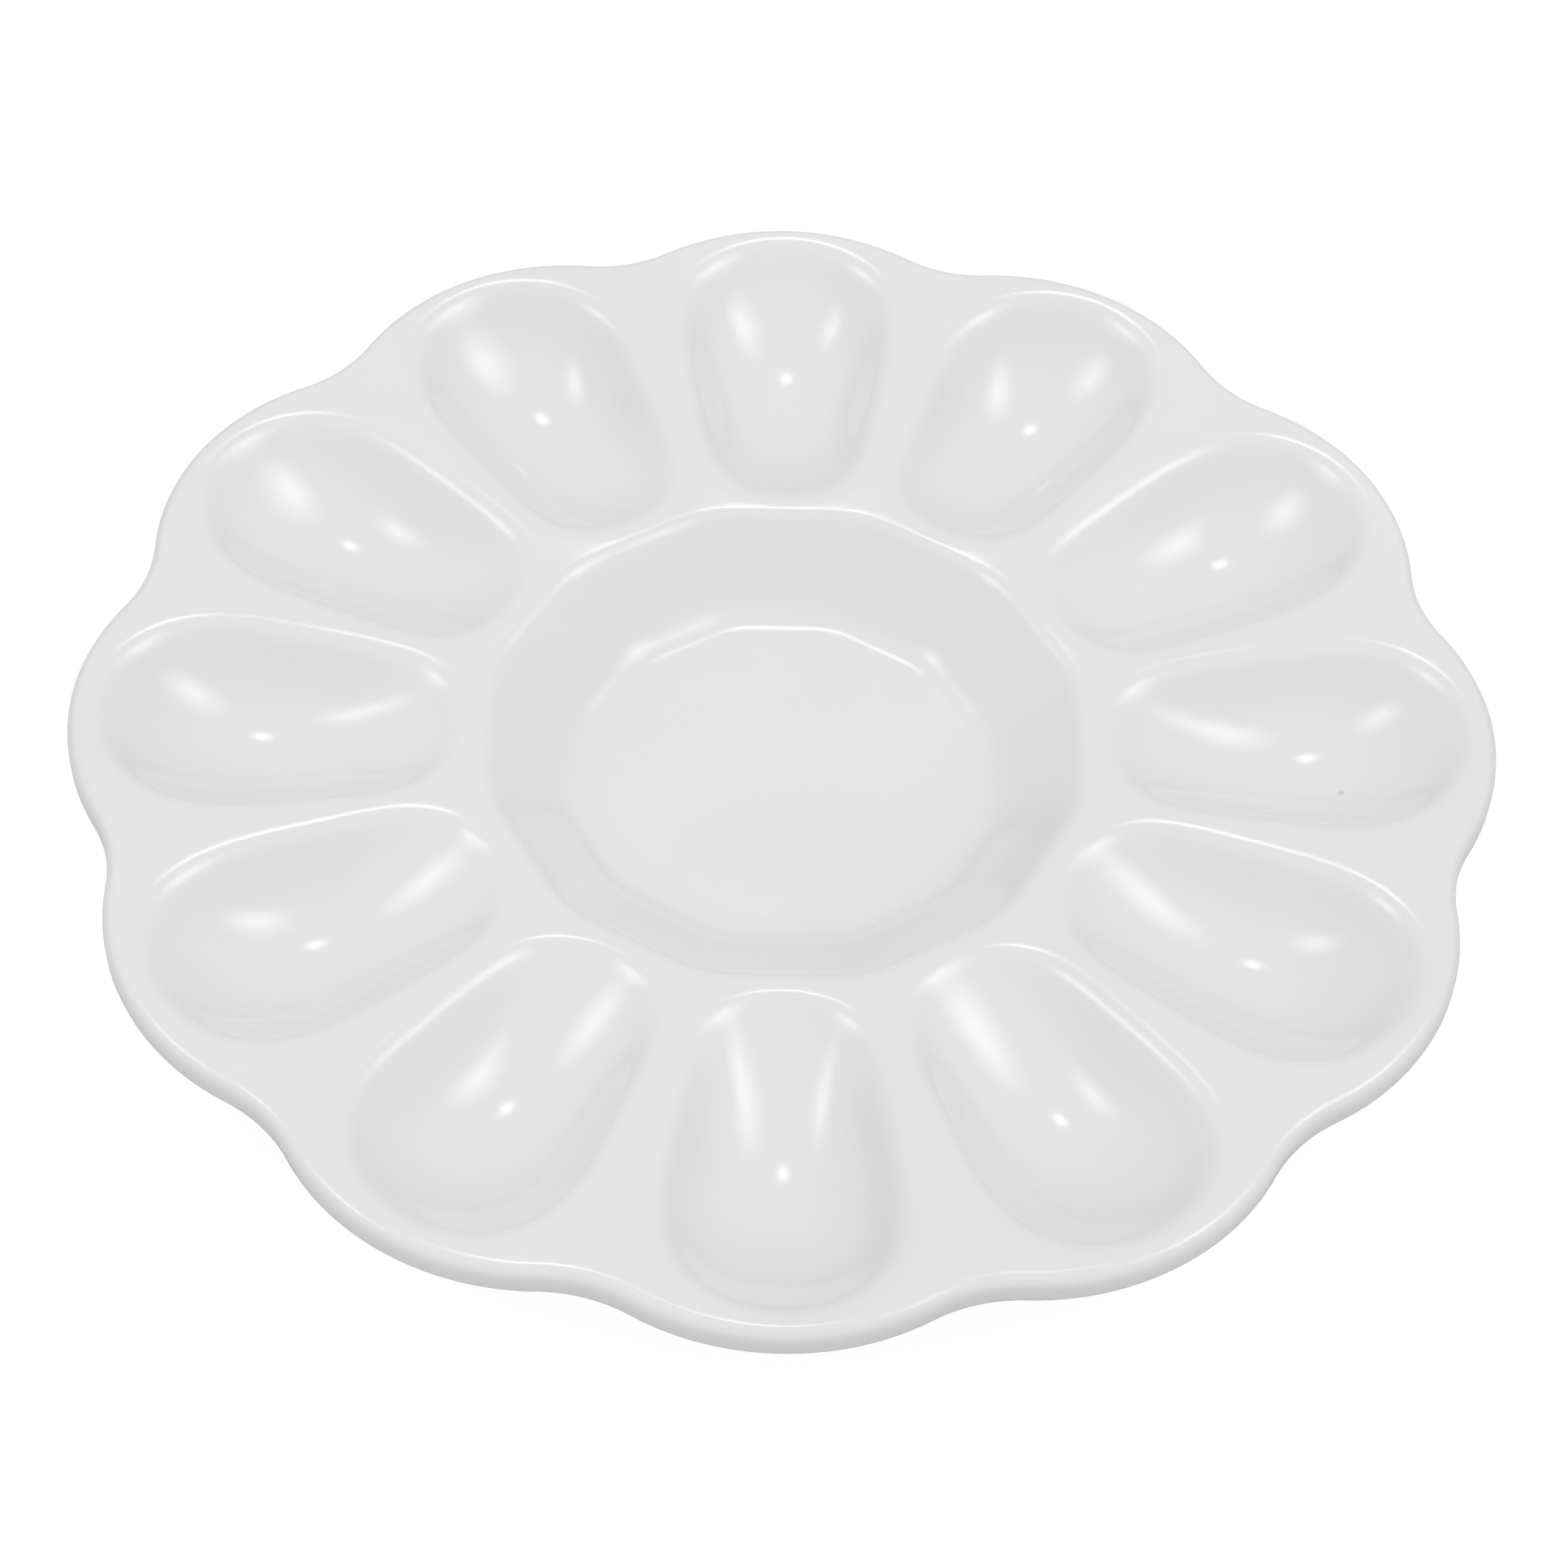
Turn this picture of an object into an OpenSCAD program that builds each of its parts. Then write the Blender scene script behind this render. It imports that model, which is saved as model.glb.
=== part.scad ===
// Deviled egg platter: a scalloped porcelain plate with a ring of egg wells around a
// shallow centre well, glazed all over but for the foot that it stands on.
// Millimetres, +Z up, the table at Z = 0 and the platter's axis on Z.
// One lobe of the rim, and the egg well under it, lie on +Y.

/* [Overall] */
// Width across two opposite lobes of the rim
overall_w = 280; // [274:1:310]
// Height of the land above the table at the lobe tips
overall_h = 24; // [22:0.5:30]
// Thickness of the wall, with its glaze
wall = 4; // [3.4:0.1:4.6]
// Thickness of the glaze
glaze_t = 0.4; // [0.3:0.05:0.5]
// Egg wells round the platter, each under its own lobe
egg_count = 12; // [9:1:12]

/* [Rim] */
// Height of the thickened edge
edge_h = 6.5; // [5.6:0.1:7.5]
// Width of the thickened edge along its underside
edge_w = 5; // [4.6:0.1:6.5]
// Radius along the top of the edge
edge_top_r = 2.5; // [1.5:0.1:2.8]
// Radius along the bottom of the edge
edge_bottom_r = 2; // [1.5:0.1:2.4]
// Depth of the notches between the lobes
notch_depth = 6.4; // [4.5:0.1:7.5]
// Radius in the bottom of each notch
notch_r = 30; // [24:1:34]
// Slope of the land down towards the centre, in degrees
land_slope = 3.72; // [2.6:0.02:4.4]

/* [Egg wells] */
// Distance from a lobe tip in to the middle of a well's blunt end
well_inset = 27.6; // [26.6:0.1:29]
// Distance between the middles of a well's blunt end and its narrow end
well_reach = 33.4; // [28:0.1:34]
// Width of the mouth at the blunt end
blunt_w = 40.6; // [38:0.1:42]
// Width of the mouth at the narrow end
narrow_w = 28.4; // [26:0.1:29]
// Depth below the land at the blunt end
blunt_depth = 10; // [8.4:0.1:11]
// Depth below the land at the narrow end
narrow_depth = 8.2; // [7:0.1:8.4]
// Width of the soft edge round the mouth
mouth_soft_w = 2.2; // [1.2:0.1:2.4]
// Slope of the soft edge, in degrees
mouth_soft_slope = 27; // [22:1:32]

/* [Centre well] */
// Width across the flats at the mouth
centre_w = 117.4; // [108:0.2:119]
// Width across the flats of the floor
centre_floor_w = 82.4; // [74:0.2:86]
// Depth from the mouth to the floor
centre_depth = 12.1; // [9:0.1:12.6]
// Radius along the edge of the mouth
centre_mouth_r = 4; // [2:0.1:6]
// Radius in the corner between the wall and the floor
centre_floor_r = 9; // [5:0.5:12]

/* [Foot] */
// Width of the foot ring, across the middle of its wall
foot_w = 100; // [96:1:105]
// Thickness of the foot ring where it stands
foot_t = 4; // [3.4:0.1:5]
// Draft on each side of the foot ring, in degrees
foot_draft = 8; // [4:1:12]
// Radius on the bottom edges of the foot ring
foot_edge_r = 1; // [0.8:0.1:1.2]
// Height of the bare band that the glaze stops above
bare_h = 2.4; // [1.6:0.1:3]

/* [Hidden] */
$fn = 72;

// How far cuts run past what they cut
overrun = 1;
// How far the rim stands over the land before the land is cut, so that the two cross cleanly
crossing_h = 0.03;
// How far a cone lies inside the balls that it joins, for the same reason
crossing_in = 0.02;
// Lengths by which an arc of the rim runs on into its neighbour, or stops short of it
arc_pass = 1.5;
arc_short = 1;
// Slope of the edge's inner side, and how far its root runs into the wall
edge_slope = 48;
edge_root = 3;
// Flat steps along each softened corner of the centre well
corner_steps = 3;

// The land is one flat facet a lobe, all sloping from one point on the axis
pitch = 360 / egg_count;
half_pitch = pitch / 2;
flat_share = 1 / cos(half_pitch);
tip_r = overall_w / 2;
rise = tan(land_slope);
apex_z = overall_h - tip_r * rise;

// The rim's lobes and notches are arcs that touch
notch_c = tip_r - notch_depth + notch_r;
notch_x = notch_c * cos(half_pitch);
notch_y = notch_c * sin(half_pitch);
lobe_r = (notch_y ^ 2 + (notch_x - tip_r) ^ 2 - notch_r ^ 2) / (2 * (notch_r - notch_x + tip_r));
lobe_c = tip_r - lobe_r;
lobe_turn = atan(notch_y / (notch_x - lobe_c));
notch_turn = lobe_turn - half_pitch;
join_x = lobe_c + lobe_r * cos(lobe_turn);
join_y = lobe_r * sin(lobe_turn);
notch_slope = atan(rise * cos(half_pitch));
notch_lift = rise * sin(half_pitch) * (join_x * sin(half_pitch) - join_y * cos(half_pitch));
edge_core = wall / 2;
edge_run = edge_w + (edge_h - edge_core) / tan(edge_slope) + edge_root;
core_r = tip_r - edge_w - overrun;
core_notch_r = notch_r + edge_top_r + overrun;

// Each egg well is shaped by a ball at each end and the cone between them
blunt_x = tip_r - well_inset;
narrow_x = blunt_x - well_reach;

// The centre well has a flat side for each egg well
centre_r = centre_w / 2;
floor_r = centre_floor_w / 2;
floor_z = apex_z + centre_r * rise - centre_depth;
centre_slope = atan(centre_depth / (centre_r - floor_r));
foot_r = foot_w / 2;

porcelain_colour = [0.93, 0.92, 0.9];
glaze_colour = [0.97, 0.97, 0.97];

// Heights and corners on a surface that lies deep under the glazed one
function land_z(x, deep) = apex_z + x * rise - deep / cos(land_slope);
function side_z(x, deep) = floor_z + (x - floor_r) * tan(centre_slope) - deep / cos(centre_slope);
function side_x(z, deep) = floor_r + (z - floor_z) / tan(centre_slope) + deep / sin(centre_slope);
function floor_corner(deep) = [side_x(floor_z - deep, deep), floor_z - deep];
function mouth_corner(deep) =
    let (x = side_x(land_z(0, deep), deep) / (1 - rise / tan(centre_slope)))
    [x, land_z(x, deep)];

// The points of an arc that touches the lines from b to a and from b to c
function soften(a, b, c, r) =
    let (u = (a - b) / norm(a - b),
        v = (c - b) / norm(c - b),
        half = acos(u * v) / 2,
        centre = b + (u + v) / norm(u + v) * r / sin(half),
        from = b + u * r / tan(half) - centre,
        to = b + v * r / tan(half) - centre,
        turn = acos(from * to / (norm(from) * norm(to))))
    [for (i = [0:corner_steps])
        let (t = i / corner_steps)
        centre + (from * sin((1 - t) * turn) + to * sin(t * turn)) / sin(turn)];

// The line down the land, the side and the floor to the axis, on one such surface
function centre_line(deep, mouth_r, floor_corner_r) =
    let (rim = [tip_r, land_z(tip_r, deep)],
        mouth = mouth_corner(deep),
        corner = floor_corner(deep),
        middle = [0, floor_z - deep])
    concat([rim], soften(rim, mouth, corner, mouth_r), soften(mouth, corner, middle, floor_corner_r),
        [middle]);

// A ring with a flat for each egg well, its flats as far out as the outline says
module flat_sided() {
    rotate([0, 0, half_pitch]) rotate_extrude($fn = egg_count) scale([flat_share, 1]) children();
}

// The frames in which a lobe and its well, or a notch, are drawn: X out along the land
module on_lobe(k) {
    rotate([0, 0, 90 - pitch * k])
        translate([0, 0, apex_z])
            rotate([0, -land_slope, 0]) children();
}

module on_notch(k) {
    rotate([0, 0, 90 - pitch * (k + 1 / 2)])
        translate([0, 0, apex_z + notch_lift])
            rotate([0, -notch_slope, 0]) children();
}

// The plate from the axis out to the edge, standing a little over its finished top
module plate_core(inset) {
    deep = wall - inset;
    bottom = centre_line(deep, centre_mouth_r + inset, centre_floor_r + deep);
    mouth = mouth_corner(inset);
    corner = floor_corner(inset);
    difference() {
        intersection() {
            flat_sided() polygon(concat(bottom, [
                [0, corner[1] + overrun],
                [corner[0], corner[1] + overrun],
                [mouth[0], mouth[1] + overrun],
                [tip_r, land_z(tip_r, inset) + overrun]
            ]));
            cylinder(r = core_r, h = overall_h + tip_r);
        }
        for (k = [0:egg_count - 1])
            rotate([0, 0, 90 - pitch * (k + 1 / 2)])
                translate([notch_c, 0, 0]) cylinder(r = core_notch_r, h = overall_h + tip_r);
    }
}

// What a corner of this radius leaves outside its arc, with the corner at the origin and the
// arc up and to the right of it
module corner_cut(r) {
    difference() {
        translate([-overrun, -overrun]) square(r + overrun);
        translate([r, r]) circle(r);
    }
}

// The section of the thickened edge, from its outer face inwards, with the land at zero
module edge_section(inset) {
    top = crossing_h - inset;
    bottom = inset - edge_h;
    foot = edge_w - inset / sin(edge_slope);
    difference() {
        polygon([
            [inset, top],
            [edge_run, top],
            [edge_run, -edge_core],
            [foot + (edge_h - edge_core) / tan(edge_slope), -edge_core],
            [foot + inset / tan(edge_slope), bottom],
            [inset, bottom]
        ]);
        translate([inset, top]) mirror([0, 1]) corner_cut(edge_top_r - inset);
        translate([inset, bottom]) corner_cut(edge_bottom_r - inset);
    }
}

module lobe_edge(inset) {
    turn = lobe_turn + asin(arc_pass / lobe_r);
    translate([lobe_c / cos(land_slope), 0, 0])
        rotate([0, 0, -turn])
            rotate_extrude(angle = 2 * turn) translate([lobe_r, 0]) mirror([1, 0]) edge_section(inset);
}

module notch_edge(inset) {
    turn = notch_turn - asin(arc_short / notch_r);
    translate([notch_c / cos(notch_slope), 0, 0])
        rotate([0, 0, 180 - turn])
            rotate_extrude(angle = 2 * turn) translate([notch_r, 0]) edge_section(inset);
}

// Two balls and the cone between them, each ball at its [x, height above the land]
module egg_form(blunt, blunt_r, narrow, narrow_r) {
    gap = norm(blunt - narrow);
    lean = atan((blunt[1] - narrow[1]) / (blunt[0] - narrow[0]));
    near = (blunt_r - narrow_r) / gap;
    across = sqrt(1 - near ^ 2);
    translate([blunt[0], 0, blunt[1]]) rotate([0, -90 - lean, 0]) {
        sphere(blunt_r);
        translate([0, 0, gap]) sphere(narrow_r);
        translate([0, 0, blunt_r * near])
            cylinder(r1 = blunt_r * across - crossing_in, r2 = narrow_r * across - crossing_in,
                h = gap + (narrow_r - blunt_r) * near);
    }
}

// The ball that leaves a mouth of this width and depth in the land
function ball_r(mouth_w, depth) = ((mouth_w / 2) ^ 2 + depth ^ 2) / (2 * depth);

// What is left of a form below a height over the land
module below(level) {
    difference() {
        children();
        translate([0, -tip_r, level]) cube([2 * tip_r, 2 * tip_r, tip_r]);
    }
}

module well_form(grow, level) {
    blunt_r = ball_r(blunt_w, blunt_depth);
    narrow_r = ball_r(narrow_w, narrow_depth);
    below(level) egg_form([blunt_x / cos(land_slope), blunt_r - blunt_depth], blunt_r + grow,
        [narrow_x / cos(land_slope), narrow_r - narrow_depth], narrow_r + grow);
}

// A wider, flatter egg that takes the sharp corner off the mouth
module mouth_form(grow) {
    blunt_half = blunt_w / 2 + mouth_soft_w;
    narrow_half = narrow_w / 2 + mouth_soft_w;
    below(overrun) egg_form([blunt_x / cos(land_slope), blunt_half / tan(mouth_soft_slope)],
        blunt_half / sin(mouth_soft_slope) + grow,
        [narrow_x / cos(land_slope), narrow_half / tan(mouth_soft_slope)],
        narrow_half / sin(mouth_soft_slope) + grow);
}

// A standing ring under the centre well's side, with its top inside the wall
module foot_ring(inset) {
    half_t = foot_t / 2 - inset;
    top_z = side_z(foot_r, edge_core);
    half_top = half_t + top_z * tan(foot_draft);
    // Turned so that its seam meets no flat of the centre well at the middle
    rotate([0, 0, half_pitch / 2]) rotate_extrude() difference() {
        polygon([
            [foot_r - half_t, 0],
            [foot_r + half_t, 0],
            [foot_r + half_t, foot_edge_r],
            [foot_r + half_top, side_z(foot_r + half_top, edge_core)],
            [foot_r - half_top, side_z(foot_r - half_top, edge_core)],
            [foot_r - half_t, foot_edge_r]
        ]);
        translate([foot_r - half_t, 0]) corner_cut(foot_edge_r);
        translate([foot_r + half_t, 0]) mirror([1, 0]) corner_cut(foot_edge_r);
    }
}

// Everything above the land, the centre well's sides and its floor
module air(inset) {
    far = tip_r + wall;
    high = overall_h + tip_r;
    line = centre_line(inset, centre_mouth_r - inset, centre_floor_r + inset);
    flat_sided() polygon(concat([[0, high], [far, high], [far, land_z(far, inset)]],
        [for (i = [1:len(line) - 1]) line[i]]));
}

// The whole platter, or the body under its glaze when inset is the glaze's thickness
module platter_form(inset) {
    difference() {
        union() {
            plate_core(inset);
            foot_ring(inset);
            for (k = [0:egg_count - 1]) {
                on_lobe(k) lobe_edge(inset);
                on_notch(k) notch_edge(inset);
                on_lobe(k) well_form(wall - inset, -edge_core);
            }
        }
        air(inset);
        for (k = [0:egg_count - 1]) on_lobe(k) {
            well_form(inset, overrun);
            mouth_form(inset);
        }
    }
}

// The space under the centre well, up to the middle of its wall
module under_centre() {
    corner = floor_corner(edge_core);
    rotate_extrude()
        polygon([[0, -overrun], [foot_r, -overrun], [foot_r, side_z(foot_r, edge_core)], corner,
            [0, corner[1]]]);
}

// The band round the foot that stays bare
module bare_band() {
    half_t = foot_t / 2 + overrun;
    translate([0, 0, -overrun]) rotate_extrude()
        translate([foot_r - half_t, 0]) square([2 * half_t, bare_h + overrun]);
}

module porcelain_body() {
    color(porcelain_colour) platter_form(glaze_t);
}

// The glaze over the top, round the rim and down the outside of the foot
module glaze_coat() {
    color(glaze_colour) difference() {
        platter_form(0);
        platter_form(glaze_t);
        under_centre();
        bare_band();
    }
}

// The glaze inside the foot ring, cut off from the rest by the bare foot
module foot_well_glaze() {
    color(glaze_colour) difference() {
        intersection() {
            union() {
                plate_core(0);
                foot_ring(0);
            }
            under_centre();
        }
        union() {
            plate_core(glaze_t);
            foot_ring(glaze_t);
        }
        bare_band();
    }
}

porcelain_body();
glaze_coat();
foot_well_glaze();
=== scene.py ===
# %% [markdown]
# # A deviled egg platter in glazed porcelain
# The platter is one pressed and fired piece: twelve lobes round the rim, an egg-shaped well
# under each, a twelve-sided well in the middle and a foot ring that stays bare. Its shape
# follows a few rules, such as arcs for the rim and filled-out bowls for the wells, so this file
# writes those rules as node trees, lets Geometry Nodes build one lobe of each layer, and repeats
# it. The glaze then gets its depth from the shader and its gleam from three studio lamps.

# %% Load the frame and keep its parts where they stand
import math

import bmesh
import bpy
from mathutils import Matrix, Vector


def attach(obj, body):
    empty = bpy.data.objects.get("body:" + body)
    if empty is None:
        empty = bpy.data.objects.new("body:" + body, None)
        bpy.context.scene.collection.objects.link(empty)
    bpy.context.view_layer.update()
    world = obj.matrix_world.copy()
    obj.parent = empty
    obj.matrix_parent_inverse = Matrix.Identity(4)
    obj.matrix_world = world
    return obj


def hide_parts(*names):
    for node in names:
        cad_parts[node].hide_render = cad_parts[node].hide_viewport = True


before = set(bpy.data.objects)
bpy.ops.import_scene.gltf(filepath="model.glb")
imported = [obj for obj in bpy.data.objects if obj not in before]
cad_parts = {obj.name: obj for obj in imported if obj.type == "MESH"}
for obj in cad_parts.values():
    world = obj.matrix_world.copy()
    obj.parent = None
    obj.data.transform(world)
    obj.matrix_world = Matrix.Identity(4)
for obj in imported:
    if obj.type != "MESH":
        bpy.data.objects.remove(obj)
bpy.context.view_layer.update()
print("frame nodes:", ", ".join(sorted(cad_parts)))

# %% [markdown]
# ## Sizes
# A potter's drawing would give these numbers, in millimetres and degrees. Each becomes a named
# input of the node trees, so that a learner can open a tree and pull on one of them. Four
# shares say how wide a well is on its way from the slim inner end to the blunt outer one, and
# its fullness says how flat its floor is.

# %% Name the sizes
MM = 0.001
SIZES = {
    "Lobes": 12.0,
    "Tip radius": 140.0,
    "Rim height": 24.0,
    "Notch depth": 6.4,
    "Notch radius": 30.0,
    "Land slope": 3.72,
    "Wall": 4.0,
    "Edge height": 6.5,
    "Edge width": 5.0,
    "Edge top radius": 2.5,
    "Edge bottom radius": 2.0,
    "Edge slope": 48.0,
    "Well inner end": 63.8,
    "Well outer end": 133.7,
    "Well depth": 9.6,
    "Well depth lean": 0.19,
    "Well fullness": 0.5,
    "Well width": 0.334,
    "Well width lean": 0.204,
    "Well width swell": 0.305,
    "Well width pinch": -0.157,
    "Well lip radius": 5.0,
    "Well underside softness": 5.0,
    "Centre mouth": 58.7,
    "Centre floor": 41.2,
    "Centre depth": 12.1,
    "Centre mouth radius": 3.0,
    "Centre floor radius": 8.0,
    "Centre corner softness": 5.0,
    "Foot radius": 50.0,
    "Foot thickness": 4.0,
    "Foot draft": 8.0,
    "Foot edge radius": 1.0,
    "Foot fillet": 3.0,
    "Bare height": 2.4,
    "Glaze": 0.4,
}
for name, value in SIZES.items():
    print(f"{name}: {value:g}")

# %% [markdown]
# ## A sum of sockets
# A shape by rule needs hundreds of Math nodes, and wiring them by hand is slow and hard to read.
# Python lets a class say what its signs mean, so here `a + b` adds one Math node and gives its
# output. The formulas below can then be read as formulas, and the tree still holds every step.


# %% Add any node in one line
def add(tree, kind, inputs=(), **settings):
    """A new node, with its settings and inputs: a socket is linked and a plain value written."""
    node = tree.nodes.new(kind)
    for key, value in settings.items():
        setattr(node, key, value)
    for key, value in dict(inputs).items():
        value = getattr(value, "socket", value)
        if isinstance(value, bpy.types.NodeSocket):
            tree.links.new(value, node.inputs[key])
        else:
            node.inputs[key].default_value = value
    return node


# %% Make formulas write Math nodes
class Rule:
    """A number on every point: a socket of a tree, with Python's signs for the Math nodes."""

    def __init__(self, tree, socket):
        self.tree, self.socket = tree, socket

    def math(self, operation, *values):
        node = add(self.tree, "ShaderNodeMath", enumerate(values), operation=operation)
        return Rule(self.tree, node.outputs[0])

    def __abs__(self):
        return self.math("ABSOLUTE", self)


SIGNS = {"add": "ADD", "sub": "SUBTRACT", "mul": "MULTIPLY", "truediv": "DIVIDE"}
for sign, operation in SIGNS.items():
    setattr(Rule, f"__{sign}__", lambda a, b, what=operation: a.math(what, a, b))
    setattr(Rule, f"__r{sign}__", lambda a, b, what=operation: a.math(what, b, a))
print("signs that write nodes:", ", ".join(SIGNS))


# %% Name the rest of the mathematics
def sine(a):
    return a.math("SINE", a)


def cosine(a):
    return a.math("COSINE", a)


def tangent(a):
    return a.math("TANGENT", a)


def at_least(a, low):
    return a.math("MAXIMUM", a, low)


def root(a):
    return a.math("SQRT", at_least(a, 0.0))


def eased(a, limit):
    """The value itself while small, and never more than the limit, without a corner between."""
    return a * limit / (a + limit)


def soft_lower(a, b, blend):
    """The lower of two heights, eased into each other where they lie within blend."""
    return a.math("SMOOTH_MIN", a, b, blend)


def soft_upper(a, b, blend):
    """The upper of two heights, eased in the same way."""
    return a.math("SMOOTH_MAX", a, b, blend)


def between(a, b, share):
    return a + (b - a) * share


def bend(a, b, c, share):
    """A curve from a to c that leaves towards b and arrives from b."""
    return between(between(a, b, share), between(b, c, share), share)


# %% [markdown]
# ## A formula is a node group
# A long formula is easier to read as several short ones, and so is a tree. Each rule below is
# written as a small function, and the decorator turns it into a node group that is built once
# and used wherever the function is called. A group asks for the sizes it needs by name, and
# they become its inputs, which are passed down from the modifier.


# %% Keep a tree with named inputs
class Tree:
    """A node tree whose inputs are fields, such as an angle, and then sizes, when asked for."""

    def __init__(self, name, fields=()):
        self.tree = bpy.data.node_groups.new(name, "GeometryNodeTree")
        self.source = add(self.tree, "NodeGroupInput")
        self.names, self.sizes = fields, {}
        self.fields = [self.new_input(field, 0.0) for field in fields]

    def new_input(self, name, value):
        socket = self.tree.interface.new_socket(
            name, in_out="INPUT", socket_type="NodeSocketFloat"
        )
        socket.default_value = value
        return Rule(self.tree, self.source.outputs[name])

    def size(self, name):
        if name not in self.sizes:
            self.sizes[name] = self.new_input(name, SIZES[name])
        return self.sizes[name]

    def give(self, sockets, kind="NodeSocketFloat"):
        """Ends the tree with these results."""
        result = add(self.tree, "NodeGroupOutput")
        for number, socket in enumerate(sockets):
            self.tree.interface.new_socket(
                f"Result {number + 1}", in_out="OUTPUT", socket_type=kind
            )
            self.tree.links.new(socket, result.inputs[number])

    def use(self, inner, values=()):
        """Adds another tree as a group here, and passes the sizes on."""
        inputs = dict(zip(inner.names, values))
        inputs.update({name: self.size(name) for name in inner.sizes})
        return add(self.tree, "GeometryNodeGroup", inputs, node_tree=inner.tree)


# %% Turn functions into node groups
BUILT = {}


def as_group(*fields):
    """Makes a formula over these fields a node group."""

    def wrap(formula):
        name = formula.__name__

        def call(tree, *values):
            if name not in BUILT:
                inner = Tree(name, fields)
                results = formula(inner, *inner.fields)
                results = results if isinstance(results, tuple) else (results,)
                inner.give([rule.socket for rule in results])
                BUILT[name] = inner
            node = tree.use(BUILT[name], values)
            results = [Rule(tree.tree, socket) for socket in node.outputs]
            return results if len(results) > 1 else results[0]

        return call

    return wrap


# %% [markdown]
# ## The rules of the shape
# Every point is given by its distance from the axis and its angle from the middle of its lobe.
# Seen from above, the rim is an arc out and an arc in that touch, and an inner line of the rim
# is the same two arcs with other radii. Seen from the side, heights are planes and bowls, and
# a soft minimum or maximum rounds the edge where two of them meet, as the glaze does.

# %% Write the plan of the rim
DEGREE = math.pi / 180
QUARTER = math.pi / 2
FULL_TURN = 2 * math.pi


def half_pitch(tree):
    return math.pi / tree.size("Lobes")


@as_group()
def rim_arcs(tree):
    """The notch's and the lobe's centres, the lobe's radius, and the way to where they touch."""
    tip, notch_r, half = tree.size("Tip radius"), tree.size("Notch radius"), half_pitch(tree)
    notch_c = tip - tree.size("Notch depth") + notch_r
    x, y = notch_c * cosine(half), notch_c * sine(half)
    gap = x - tip
    lobe_r = (y * y + gap * gap - notch_r * notch_r) / (2.0 * (notch_r - gap))
    lobe_c = tip - lobe_r
    run = x - lobe_c
    reach = root(run * run + y * y)
    return notch_c, lobe_c, lobe_r, run / reach, y / reach


@as_group("Angle", "Inward")
def plan(tree, angle, inward):
    """Distance from the axis to the line that runs inward of the rim's outline."""
    notch_c, lobe_c, lobe_r, join_x, join_y = rim_arcs(tree)
    lobe = lobe_r - inward
    off = lobe_c * sine(angle)
    by_lobe = lobe_c * cosine(angle) + root(lobe * lobe - off * off)
    notch = tree.size("Notch radius") + inward
    other = half_pitch(tree) - abs(angle)
    off = notch_c * sine(other)
    by_notch = notch_c * cosine(other) - root(notch * notch - off * off)
    turn = angle.math("ARCTAN2", lobe * join_y, lobe_c + lobe * join_x)
    return between(by_notch, by_lobe, angle.math("LESS_THAN", abs(angle), turn))


# %% Write the heights of the land and the centre well
def land_rise(tree):
    return tangent(tree.size("Land slope") * DEGREE)


@as_group("Radius", "Angle")
def land(tree, radius, angle):
    """The height of the plate's flat top, a shallow cone drawn in a little at each notch."""
    dip = (1.0 - cosine(half_pitch(tree))) * (1.0 - cosine(tree.size("Lobes") * angle)) * 0.5
    inner = tree.size("Tip radius") - radius * (1.0 - dip)
    return tree.size("Rim height") - inner * land_rise(tree)


@as_group("Radius", "Angle", "Deep", "Floor radius", "Mouth radius")
def dish(tree, radius, angle, deep, floor_r, mouth_r):
    """The land and the centre well, on the surface that lies deep under the top."""
    mouth, floor = tree.size("Centre mouth"), tree.size("Centre floor")
    here = radius * cosine(angle)
    there = radius * cosine(2.0 * half_pitch(tree) - abs(angle))
    across = soft_upper(here, there, tree.size("Centre corner softness") * radius / mouth)
    rise, depth = land_rise(tree), tree.size("Centre depth")
    steep = depth / (mouth - floor)
    floor_z = tree.size("Rim height") - (tree.size("Tip radius") - mouth) * rise - depth
    side = floor_z + (across - floor) * steep - deep * root(steep * steep + 1.0)
    turn = steep - rise
    upper = soft_lower(side, land(tree, radius, angle) - deep, mouth_r * turn * turn)
    return soft_upper(floor_z - deep, upper, floor_r * steep * steep)


# %% [markdown]
# ## The egg wells
# A press leaves each well as a bowl with a rounded lip. A parabola both ways would make a bowl
# too, but with sides more lazy than a pressed well has. So it is filled out: at the same depth,
# its sides fall faster and its floor is flatter. The lip is rounded by the slope of the side.

# %% Write the egg well
STEEPEST = 4.0  # what the square of a slope counts at most
SHALLOW = 0.8  # keeps the share of the depth even where a well runs out


@as_group("Radius", "Angle")
def well(tree, radius, angle):
    """Height of an egg well over the land, and its slope at the lip and right here, squared."""
    outer, inner = tree.size("Well outer end"), tree.size("Well inner end")
    middle, half = (outer + inner) * 0.5, (outer - inner) * 0.5
    x, y = radius * cosine(angle), radius * sine(angle)
    t = (x - middle) / half
    inside = 1.0 - t * t
    lean, full = tree.size("Well depth lean"), tree.size("Well fullness")
    fall = (1.0 + lean * t) * tree.size("Well depth")
    shares = tree.size("Well width swell") + tree.size("Well width pinch") * t
    shares = tree.size("Well width") + (tree.size("Well width lean") + shares * t) * t
    spread = half * half * shares
    # a plain bowl over the outline first, then filled out so that its floor is flatter
    bowl = fall * (inside - y * y / spread)
    along = (inside * lean * tree.size("Well depth") - 2.0 * t * fall) / half
    across = 2.0 * y * fall / spread
    slope = along * along + across * across
    share = at_least(bowl, 0.0) / (at_least(fall * inside, 0.0) + SHALLOW)
    at_lip, here = 1.0 + full, 1.0 + full - 2.0 * full * share
    return (full * share - at_lip) * bowl, slope * at_lip * at_lip, slope * here * here


# %% Write the top and the underside
EDGE_BLEND = 0.8  # how softly the thick rim leaves the underside


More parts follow.
